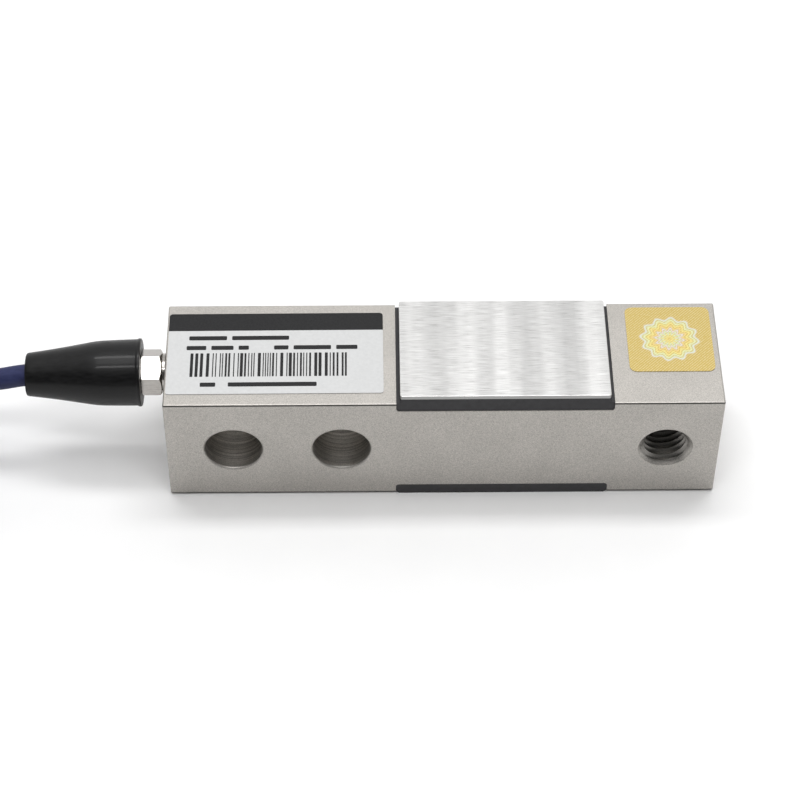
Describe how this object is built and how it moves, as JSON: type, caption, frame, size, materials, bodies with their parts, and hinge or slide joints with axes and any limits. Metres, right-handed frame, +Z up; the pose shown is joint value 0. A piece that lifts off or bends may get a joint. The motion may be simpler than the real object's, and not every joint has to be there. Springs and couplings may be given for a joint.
{
  "type": "cantilever beam load cell",
  "caption": "Square steel shear-beam load cell with bolt holes, a threaded load hole, sealed gauge pockets under cover plates and a cable with strain relief.",
  "frame": {"origin": "under the middle of the beam, on the outer face of the lower cover plate", "axes": "+X along the beam from the cable end to the load end, the holes run along Y, +Z up through the covers"},
  "size_m": [0.3276, 0.0496, 0.0342],
  "materials": {
    "beam": "satin nickel plate over alloy steel",
    "cover": "brushed stainless sheet",
    "seal": "black sealing compound",
    "gauge": "amber film with metal foil grid",
    "board": "green laminate with tinned pads",
    "resistor": "small black chips",
    "fine_wire": "enamelled copper",
    "conductor": "insulated conductors",
    "gland": "polished nickel plate",
    "gland_seal": "black rubber",
    "clamp": "plain brass",
    "boot": "black semi-gloss moulded rubber",
    "cable": "dark blue sheath",
    "tie": "black nylon",
    "sleeve": "black shrink sleeve",
    "lead_red": "red insulation, tinned tip",
    "lead_black": "black insulation, tinned tip",
    "lead_green": "green insulation, tinned tip",
    "lead_white": "white insulation, tinned tip",
    "drain": "tinned strand",
    "label": "white film label, bare of text",
    "sticker": null
  },
  "bodies": {
    "root": {"beam_body": "beam", "upper_cover_plate": "cover", "lower_cover_plate": "cover", "upper_seal": "seal", "lower_seal": "seal", "upper_shear_gauge": "gauge", "lower_shear_gauge": "gauge", "upper_terminal_board": "board", "lower_terminal_board": "board", "trim_resistors": "resistor", "upper_jumpers": "fine_wire", "lower_jumpers": "fine_wire", "web_wires": "fine_wire", "inner_conductors": "conductor", "gland_body": "gland", "gland_washer": "gland", "gland_grommet": "gland_seal", "gland_clamp_ring": "clamp", "strain_relief_boot": "boot", "cable": "cable", "cable_hank": "cable", "cable_tail": "cable", "hank_tie_front": "tie", "hank_tie_back": "tie", "cable_end_sleeve": "sleeve", "lead_red": "lead_red", "lead_black": "lead_black", "lead_green": "lead_green", "lead_white": "lead_white", "shield_drain": "drain", "rating_label": "label", "security_sticker": "sticker"}
  },
  "joints": []
}
